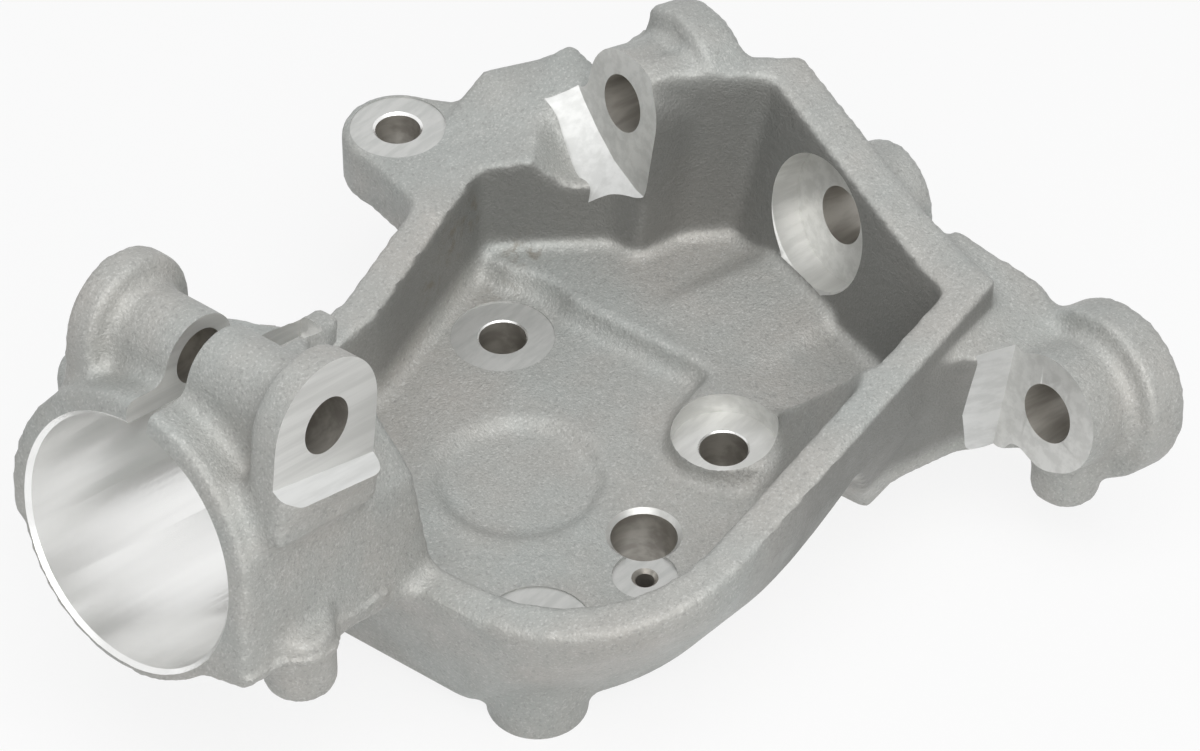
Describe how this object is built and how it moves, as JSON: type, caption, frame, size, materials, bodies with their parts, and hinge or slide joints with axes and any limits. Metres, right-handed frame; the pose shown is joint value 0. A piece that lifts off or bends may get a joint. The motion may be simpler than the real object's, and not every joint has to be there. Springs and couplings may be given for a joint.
{
  "type": "steering knuckle",
  "caption": "Cast aluminium front steering knuckle: open bowl with hub bolt floor, split strut clamp with pinch bolt ears, ball stud bosses and brake caliper ears.",
  "frame": {"origin": "middle of the four hub bolts on the outboard hub seat", "axes": "+Z along the wheel axis, inboard, up as it rests; +X from the strut clamp towards the ball joints, down on the vehicle; +Y towards the caliper ears"},
  "size_m": [0.259, 0.2436, 0.1367],
  "materials": {
    "cast_aluminium": "matt as-cast skin, machined where other parts seat"
  },
  "bodies": {
    "root": {"knuckle_casting": "cast_aluminium"}
  },
  "joints": []
}
